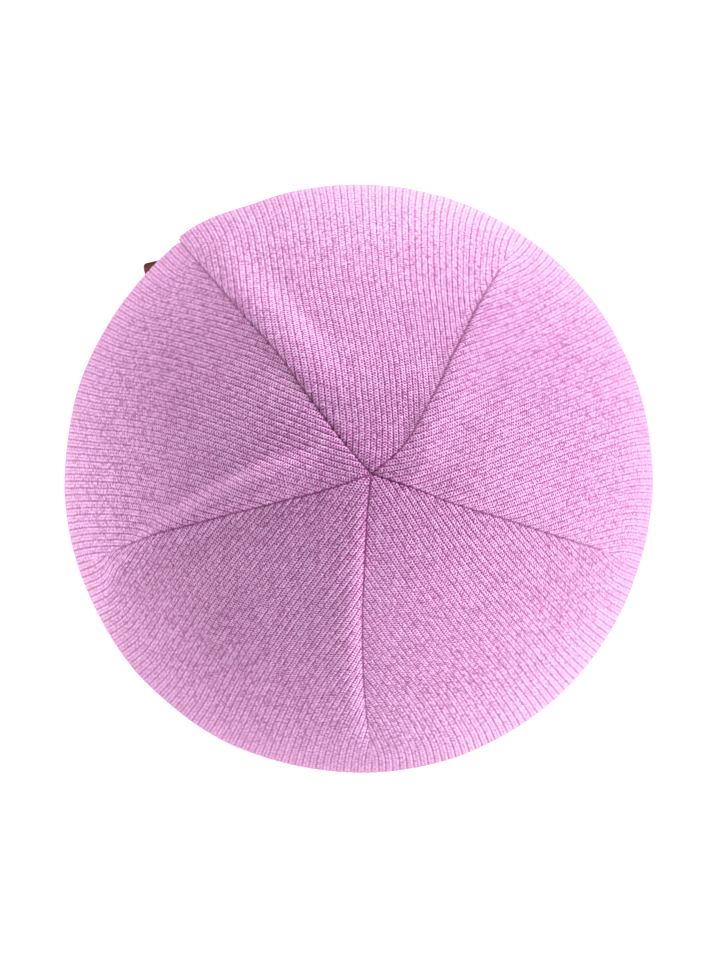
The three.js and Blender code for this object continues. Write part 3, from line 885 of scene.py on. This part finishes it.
class BEANIE_OT_cuff(bpy.types.Operator):
    """Build the turned-up cuff"""

    bl_idname = "beanie.cuff"
    bl_label = "Cuff"

    def execute(self, context):
        form = context.scene.beanie_body
        knit = context.scene.beanie_knit
        section = cuff_section(form)
        angles, wales, gores, across = [], [], [], []
        start_wale = 0
        for gore in range(len(SEAMS)):
            count = gore_wales(gore, knit.ribs)
            share = np.arange(count * knit.facets) / (count * knit.facets)
            start, end = gore_edges(gore, 1.0)
            angles.append(float(start) + float(end - start) * share)
            wales.append(start_wale + share * count)
            gores.append(np.full(share.size, gore))
            across.append(share)
            start_wale += count
        angles, wales = np.concatenate(angles), np.concatenate(wales)
        gores, across = np.concatenate(gores), np.concatenate(across)
        relief = np.concatenate(
            [knit_relief(form, gore, across[gores == gore], np.ones((gores == gore).sum())) for gore in range(len(SEAMS))]
        )
        ring = section["radius"].size
        columns = angles.size
        radius = section["radius"][None] + CUFF_LAP_SHARE * relief[:, None] * section["outside"][None]
        level = np.broadcast_to(section["level"], radius.shape)
        cos, sin = np.cos(angles)[:, None], np.sin(angles)[:, None]
        points = np.stack([cos * radius, sin * radius, level], axis=2).reshape(-1, 3)
        facing = np.stack(
            [cos * section["out"][None], sin * section["out"][None], np.broadcast_to(section["up"], radius.shape)], axis=2
        ).reshape(-1, 3)
        outwards = np.stack([cos + 0 * radius, sin + 0 * radius, 0 * radius], axis=2).reshape(-1, 3)
        i, k = np.meshgrid(np.arange(columns), np.arange(ring), indexing="ij")
        i_next, k_next = (i + 1) % columns, (k + 1) % ring
        faces = np.stack([i * ring + k, i_next * ring + k, i_next * ring + k_next, i * ring + k_next], axis=2)
        uv = np.stack([np.repeat(wales, ring), np.tile(section["along"] / knit.stitch, columns)], axis=1)
        attributes = {
            "wale": np.repeat(wales, ring),
            "rib": np.tile(section["shown"], columns),
            "stray": np.tile(section["loose"], columns),
            "facing": facing,
            "outwards": outwards,
            "spread_and_rim_shade": np.ones(columns * ring),
            "crown_shade_mask": np.zeros(columns * ring),
            "from_seam": np.ones(columns * ring),
        }
        piece = make_piece("cuff", points, [tuple(face) for face in faces.reshape(-1, 4).tolist()], uv, attributes)
        apply_tree(
            piece,
            rib_tree(),
            {"Rib Height": knit.rib_height, "Rib Split": knit.rib_split, "Wander": knit.wander, "Material": knit_yarn()},
        )
        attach(piece, ROOT)
        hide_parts("turned_up_cuff")
        return {"FINISHED"}


CUFF_LAP_SHARE = 0.45
CUFF_WALL = 2.7 * MM
CUFF_GAP = 0.3 * MM
FOLD_HEIGHT = 5 * MM
FOLD_ROUND = 2.1 * MM
EDGE_ROUND = 1.3 * MM


def arc_points(centre, round_, from_degrees, to_degrees, steps):
    """Points of an arc in the section's plane, as rows of radius and level."""
    turn = np.radians(np.linspace(from_degrees, to_degrees, steps + 1))
    return np.stack([centre[0] + round_ * np.cos(turn), centre[1] + round_ * np.sin(turn)], axis=1)


def cuff_section(form):
    """The cuff's section: points round its edge, the way each faces, and how much rib and looseness each has."""
    outside = CUFF_RADIUS
    inside = outside - CUFF_WALL
    fold_inside = inside - CUFF_GAP - form.wall
    top = CUFF_TOP - EDGE_ROUND
    rows = 28
    outer = np.stack([np.full(rows, outside), np.linspace(FOLD_ROUND, top, rows + 2)[1:-1]], axis=1)
    inner = np.array([[inside, CUFF_TOP * 0.8], [inside, CUFF_TOP * 0.4], [inside, FOLD_HEIGHT]])
    ledge = np.array([[(inside + fold_inside) / 2, FOLD_HEIGHT]])
    stretches = [
        (arc_points((outside - FOLD_ROUND, FOLD_ROUND), FOLD_ROUND, -90, 0, 6), 1, 1),
        (outer, 1, 1),
        (arc_points((outside - EDGE_ROUND, top), EDGE_ROUND, 0, 90, 5), 1, 1),
        (arc_points((inside + EDGE_ROUND, top), EDGE_ROUND, 100, 180, 4), 0, 0.6),
        (inner, 0, 0),
        (ledge, 0, 0),
        (arc_points((fold_inside + 0.8 * MM, FOLD_HEIGHT - 0.8 * MM), 0.8 * MM, 90, 180, 2), 0, 0),
        (arc_points((fold_inside + FOLD_ROUND, FOLD_ROUND), FOLD_ROUND, 180, 270, 6), 0, 1),
    ]
    points = np.concatenate([stretch for stretch, _, _ in stretches])
    on_outside = np.concatenate([np.full(len(stretch), float(flag)) for stretch, flag, _ in stretches])
    shown = np.concatenate([np.full(len(stretch), float(flag)) for stretch, _, flag in stretches])
    before, after = np.roll(points, 1, axis=0), np.roll(points, -1, axis=0)
    way = after - before
    way /= np.linalg.norm(way, axis=1)[:, None]
    steps = np.linalg.norm(after - points, axis=1)
    shown = np.where(points[:, 1] < 0.25 * MM, 0.25, shown)
    return {
        "radius": points[:, 0],
        "level": points[:, 1],
        "out": way[:, 1],
        "up": -way[:, 0],
        "along": np.concatenate([[0], np.cumsum(steps)[:-1]]),
        "outside": on_outside,
        "shown": shown,
        "loose": on_outside * smooth(8 * MM, 20 * MM, points[:, 1]),
    }


class BEANIE_OT_seams(bpy.types.Operator):
    """Build the seam allowances inside the crown and the overlock stitches over them"""

    bl_idname = "beanie.seams"
    bl_label = "Inside Seams"

    def execute(self, context):
        form = context.scene.beanie_body
        sewing = context.scene.beanie_sewing
        outline = Outline(form)
        tree = stitch_tree()
        for seam, row in enumerate(SEAMS):
            line = inside_line(form, outline, seam)
            allowance = seam_allowance(f"seam_allowance_{row['name']}", line, sewing)
            allowance.data.materials.append(knit_yarn())
            stitches = stitch_places(f"overlock_{row['name']}", line, sewing.stitch_pitch)
            apply_tree(
                stitches,
                tree,
                {
                    "Half Width": sewing.width / 2,
                    "Height": sewing.height,
                    "Thread": sewing.thread / 2,
                    "Slant": sewing.slant,
                    "Material": shared_material("sewing_thread", sewing_thread),
                },
            )
            for piece in (allowance, stitches):
                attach(piece, ROOT)
                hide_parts("knit_crown")
        return {"FINISHED"}


def inside_line(form, outline, seam):
    """Points along a seam on the inside of the knit, with the ways along it, across it and into the hat."""
    last = 1.0 if seam == MAIN_SEAM else SEAM_END
    start, end = outline.arc_of_share(0.045), outline.arc_of_share(last)
    arc = np.linspace(start, end, 1 + int((end - start) / (1.5 * MM)))
    points, facing = body_surface(form, outline, seam, arc, np.zeros(arc.size))
    points = points - facing * (form.wall - 0.3 * MM)
    along = np.gradient(points, axis=0)
    along /= np.linalg.norm(along, axis=1)[:, None]
    across = np.cross(along, -facing)
    across /= np.linalg.norm(across, axis=1)[:, None]
    return {"points": points, "along": along, "across": across, "inward": np.cross(across, along)}


def seam_allowance(name, line, sewing):
    """The two knit edges that stand inwards along a seam, as one rounded ridge."""
    turn = np.radians(np.arange(0, 360, 30))
    wide = np.cos(turn) * sewing.width / 2
    high = np.where(np.sin(turn) > 0, np.sin(turn) * sewing.height, np.sin(turn) * 0.2 * MM)
    taper = np.sqrt(smooth(0, 6, np.arange(len(line["points"]))) * smooth(0, 6, np.arange(len(line["points"]))[::-1]) + 0.02)
    rings = line["points"][:, None] + taper[:, None, None] * (
        line["across"][:, None] * wide[None, :, None] + line["inward"][:, None] * high[None, :, None]
    )
    count, ring = rings.shape[:2]
    i, k = np.meshgrid(np.arange(count - 1), np.arange(ring), indexing="ij")
    k_next = (k + 1) % ring
    sides = np.stack([i * ring + k, i * ring + k_next, (i + 1) * ring + k_next, (i + 1) * ring + k], axis=2)
    faces = [tuple(face) for face in sides.reshape(-1, 4).tolist()]
    faces += [tuple(range(ring))[::-1], tuple((count - 1) * ring + k for k in range(ring))]
    uv = np.stack([np.tile(np.arange(ring) / 2, count), np.repeat(np.arange(count) * 1.7, ring)], axis=1)
    flat = np.zeros(count * ring)
    return make_piece(name, rings.reshape(-1, 3), faces, uv, {"crown_shade_mask": flat, "spread_and_rim_shade": flat, "from_seam": flat + 1})


def stitch_places(name, line, pitch):
    """A mesh of loose points where the stitches stand, with the ways across the seam and into the hat."""
    steps = np.linalg.norm(np.diff(line["points"], axis=0), axis=1)
    along = np.concatenate([[0], np.cumsum(steps)])
    places = np.arange(6 * MM, along[-1] - 6 * MM, pitch)
    spread = {key: np.stack([np.interp(places, along, line[key][:, c]) for c in range(3)], axis=1) for key in line}
    attributes = {"across": spread["across"], "inward": spread["inward"]}
    return make_piece(name, spread["points"], [], np.zeros((places.size, 2)), attributes)


def stitch_tree():
    """Puts one bow of thread over the seam at each point."""
    tree, wires, given = geometry_tree(
        "Overlock Stitches",
        [
            ("Half Width", "NodeSocketFloat", 0.002),
            ("Height", "NodeSocketFloat", 0.0015),
            ("Thread", "NodeSocketFloat", 0.0003),
            ("Slant", "NodeSocketFloat", 0.4),
            ("Material", "NodeSocketMaterial", None),
        ],
    )
    bow = wires.node("GeometryNodeCurveArc", {"Resolution": 8, "Radius": 1.0, "Start Angle": 0.0, "Sweep Angle": math.pi})
    size = wires.node("ShaderNodeCombineXYZ", {"X": given["Half Width"], "Y": given["Height"], "Z": 1.0}).outputs[0]
    scaled = wires.node("GeometryNodeTransform", {"Geometry": bow.outputs[0], "Scale": size})
    stood = wires.node("GeometryNodeTransform", {"Geometry": scaled.outputs[0], "Rotation": (math.pi / 2, 0, 0)})
    ring = wires.node("GeometryNodeCurvePrimitiveCircle", {"Resolution": 6, "Radius": given["Thread"]})
    tube = wires.node("GeometryNodeCurveToMesh", {"Curve": stood.outputs[0], "Profile Curve": ring.outputs[0], "Fill Caps": True})
    turn = wires.node(
        "FunctionNodeAxesToRotation",
        {"Primary Axis": wires.attribute("inward", "FLOAT_VECTOR"), "Secondary Axis": wires.attribute("across", "FLOAT_VECTOR")},
        primary_axis="Z",
        secondary_axis="X",
    )
    slanted = wires.node("FunctionNodeRotateRotation", {"Rotation": turn.outputs[0]}, rotation_space="LOCAL")
    slant = wires.node("ShaderNodeCombineXYZ", {"Z": given["Slant"]}).outputs[0]
    wires.put(slanted.inputs[1], wires.node("FunctionNodeEulerToRotation", {0: slant}).outputs[0])
    placed = wires.node(
        "GeometryNodeInstanceOnPoints",
        {"Points": given["Geometry"], "Instance": tube.outputs[0], "Rotation": slanted.outputs[0]},
    )
    end_tree(wires, placed.outputs[0], given["Material"])
    return tree


def sewing_thread():
    """Twisted sewing thread in the knit's colour."""
    material, wires, shader = new_material("sewing_thread")
    place = wires.node("ShaderNodeTexCoord").outputs["Object"]
    fibre = wires.node("ShaderNodeTexNoise", {"Vector": place, "Scale": 2600.0, "Detail": 2.0}).outputs[0]
    ramp = wires.node("ShaderNodeValToRGB", {"Fac": fibre})
    ramp.color_ramp.elements[0].color = (*[c * 0.6 for c in bpy.context.scene.beanie_knit.mid_yarn], 1)
    ramp.color_ramp.elements[1].color = (*bpy.context.scene.beanie_knit.light_yarn, 1)
    wires.put(shader.inputs["Base Color"], ramp.outputs[0])
    bump = wires.node("ShaderNodeBump", {"Strength": 0.6, "Distance": 0.1 * MM, "Height": fibre})
    wires.put(shader.inputs["Normal"], bump.outputs[0])
    shader.inputs["Roughness"].default_value = 0.8
    return material


class BEANIE_OT_loop(bpy.types.Operator):
    """Build the folded leather loop"""

    bl_idname = "beanie.loop"
    bl_label = "Leather Loop"

    def execute(self, context):
        leather = context.scene.beanie_leather
        piece = leather_strip(leather)
        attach(piece, ROOT)
        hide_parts("leather_loop")
        return {"FINISHED"}


def leather_strip(leather):
    """The strip, bent round its fold, with bevelled edges and dark cut sides."""
    seat = CUFF_RADIUS + CUFF_GAP + 0.4 * MM
    along_way = np.array([math.cos(leather.heading), math.sin(leather.heading)])
    across_way = np.array([-along_way[1], along_way[0]])
    root = seat * np.array([math.cos(leather.angle), math.sin(leather.angle)])
    half = leather.thickness / 2
    span = 2 * leather.thickness + leather.eye
    round_ = leather.corner - half

    def start_at(across):
        origin = root + across_way * across
        along = origin @ along_way
        return -along + math.sqrt(along**2 - origin @ origin + seat**2)

    far = leather.length - half
    outer = np.linspace([start_at(0), half], [far - round_, half], 14)[:-1]
    turn_out = arc_points((far - round_, half + round_), round_, -90, 0, 6)
    turn_back = arc_points((far - round_, span - half - round_), round_, 0, 90, 6)
    inner = np.linspace([far - round_, span - half], [start_at(span - leather.thickness), span - half], 14)[1:]
    line = np.concatenate([outer, turn_out, turn_back, inner])
    middle = root + line[:, :1] * along_way + line[:, 1:] * across_way
    way = np.gradient(middle, axis=0)
    way /= np.linalg.norm(way, axis=1)[:, None]
    out = np.stack([-way[:, 1], way[:, 0]], axis=1)
    rows = np.linspace(loop_low.z, loop_high.z, 15)
    columns, count = len(middle), len(rows)
    points = np.stack(
        [np.repeat(middle[:, 0], count), np.repeat(middle[:, 1], count), np.tile(rows, columns)], axis=1
    )
    i, k = np.meshgrid(np.arange(columns - 1), np.arange(count - 1), indexing="ij")
    faces = np.stack([i * count + k, i * count + k + 1, (i + 1) * count + k + 1, (i + 1) * count + k], axis=2)
    uv = np.stack([np.repeat(np.arange(columns) / columns, count), np.tile(np.arange(count) / count, columns)], axis=1)
    piece = make_piece("leather_loop_strip", points, [tuple(face) for face in faces.reshape(-1, 4).tolist()], uv, {})
    face = leather_material("loop_leather", leather.face, leather.face, 0.35)
    edge = leather_material("loop_cut_edge", leather.edge, leather.face, 0.4)
    piece.data.materials.append(face)
    piece.data.materials.append(edge)
    solid = piece.modifiers.new("thickness", "SOLIDIFY")
    solid.thickness = leather.thickness
    solid.offset = 0
    solid.use_even_offset = True
    solid.material_offset_rim = 1
    bevel = piece.modifiers.new("soft edges", "BEVEL")
    bevel.width = 0.22 * MM
    bevel.segments = 2
    bevel.limit_method = "ANGLE"
    bevel.angle_limit = math.radians(50)
    evaluated = piece.evaluated_get(bpy.context.evaluated_depsgraph_get())
    mesh = bpy.data.meshes.new_from_object(evaluated)
    piece.modifiers.clear()
    piece.data = mesh
    across = np.array([vertex.co[:2] for vertex in mesh.vertices]) - root
    outer_side = 1 - smooth(0.5 * MM, 1.9 * MM, across @ across_way)
    mesh.attributes.new("outer_side", "FLOAT", "POINT").data.foreach_set("value", outer_side.astype(np.float32))
    return piece


class BEANIE_OT_stage(bpy.types.Operator):
    """Set the floor, the lights and the camera"""

    bl_idname = "beanie.stage"
    bl_label = "Stage"

    def execute(self, context):
        stage = context.scene.beanie_stage
        add_floor(stage)
        add_lights(stage)
        add_camera(context.scene, stage)
        context.scene.view_settings.view_transform = "Standard"
        return {"FINISHED"}


def add_floor(stage):
    half = 3.0
    corners = [(-half, -half, 0), (half, -half, 0), (half, half, 0), (-half, half, 0)]
    mesh = bpy.data.meshes.new("pale_floor")
    mesh.from_pydata(corners, [], [(0, 1, 2, 3)])
    floor = bpy.data.objects.new("pale_floor", mesh)
    bpy.context.scene.collection.objects.link(floor)
    material, _, shader = new_material("pale_floor")
    shader.inputs["Base Color"].default_value = (0.9, 0.9, 0.9, 1)
    shader.inputs["Roughness"].default_value = 0.9
    shader.inputs["Emission Color"].default_value = (1, 1, 1, 1)
    shader.inputs["Emission Strength"].default_value = stage.floor_glow
    mesh.materials.append(material)


# Lights: where each stands, seen from the hat, in degrees, and its share of the main light's power.
LIGHTS = (
    {"name": "key", "azimuth": 15, "elevation": 28, "away": 1.5, "size": 0.6, "share": 1.0},
    {"name": "left_fill", "azimuth": 131, "elevation": 4, "away": 1.5, "size": 0.6, "share": 0.82},
    {"name": "low_fill", "azimuth": 250, "elevation": 4, "away": 1.5, "size": 0.6, "share": 0.7},
)


def add_lights(stage):
    world = bpy.data.worlds.new("studio")
    world.use_nodes = True
    wires = Wires(world.node_tree)
    height = wires.node("ShaderNodeSeparateXYZ", {0: wires.node("ShaderNodeTexCoord").outputs["Generated"]}).outputs["Z"]
    sky = world.node_tree.nodes["Background"]
    sky.inputs["Color"].default_value = (1, 1, 1, 1)
    wires.put(sky.inputs["Strength"], wires.ramp(height, 0.0, 0.4, stage.horizon, stage.zenith))
    bpy.context.scene.world = world
    middle = Vector((0, 0, CUFF_TOP))
    for row in LIGHTS:
        azimuth, elevation = math.radians(row["azimuth"]), math.radians(row["elevation"])
        way = Vector(
            (math.cos(azimuth) * math.cos(elevation), math.sin(azimuth) * math.cos(elevation), math.sin(elevation))
        )
        light = bpy.data.lights.new(row["name"], "AREA")
        light.shape = "DISK"
        light.size = row["size"]
        light.energy = stage.key * row["share"]
        lamp = bpy.data.objects.new(row["name"], light)
        lamp.location = middle + way * row["away"]
        lamp.rotation_euler = (-way).to_track_quat("-Z", "Y").to_euler()
        lamp.visible_camera = False
        bpy.context.scene.collection.objects.link(lamp)


# The photograph's middle, seen from the hat's axis.
VIEW_MIDDLE = (0.39 * MM, -0.48 * MM)


def add_camera(scene, stage):
    camera_data = bpy.data.cameras.new("camera")
    camera = bpy.data.objects.new("camera", camera_data)
    camera_data.sensor_width = 36
    camera_data.sensor_fit = "AUTO"
    camera_data.lens = camera_data.sensor_width * stage.distance / stage.view_height
    rim_level = CUFF_TOP + scene.beanie_body.bulge_height
    camera.location = (VIEW_MIDDLE[0], VIEW_MIDDLE[1], rim_level + stage.distance)
    scene.collection.objects.link(camera)
    scene.camera = camera


class BEANIE_PT_panel(bpy.types.Panel):
    """Everything of the beanie in one panel"""

    bl_label = "Beanie"
    bl_idname = "BEANIE_PT_panel"
    bl_space_type = "VIEW_3D"
    bl_region_type = "UI"
    bl_category = "Beanie"

    def draw(self, context):
        for group in SCENE_GROUPS:
            box = self.layout.box()
            box.label(text=group.__doc__)
            settings = getattr(context.scene, SCENE_GROUPS[group])
            for name in group.__annotations__:
                box.prop(settings, name)
        for operator in OPERATORS:
            self.layout.operator(operator.bl_idname)


SCENE_GROUPS = {
    BodyForm: "beanie_body",
    KnitSettings: "beanie_knit",
    SewingSettings: "beanie_sewing",
    LeatherSettings: "beanie_leather",
    StageSettings: "beanie_stage",
}
OPERATORS = (BEANIE_OT_gores, BEANIE_OT_cuff, BEANIE_OT_seams, BEANIE_OT_loop, BEANIE_OT_stage)


def register():
    for group, name in SCENE_GROUPS.items():
        bpy.utils.register_class(group)
        setattr(bpy.types.Scene, name, PointerProperty(type=group))
    for operator in OPERATORS:
        bpy.utils.register_class(operator)
    bpy.utils.register_class(BEANIE_PT_panel)


def unregister():
    bpy.utils.unregister_class(BEANIE_PT_panel)
    for operator in reversed(OPERATORS):
        bpy.utils.unregister_class(operator)
    for group, name in reversed(SCENE_GROUPS.items()):
        delattr(bpy.types.Scene, name)
        bpy.utils.unregister_class(group)


def main():
    register()
    bpy.ops.beanie.gores()
    bpy.ops.beanie.cuff()
    bpy.ops.beanie.seams()
    bpy.ops.beanie.loop()
    bpy.ops.beanie.stage()


if __name__ == "__main__":
    main()
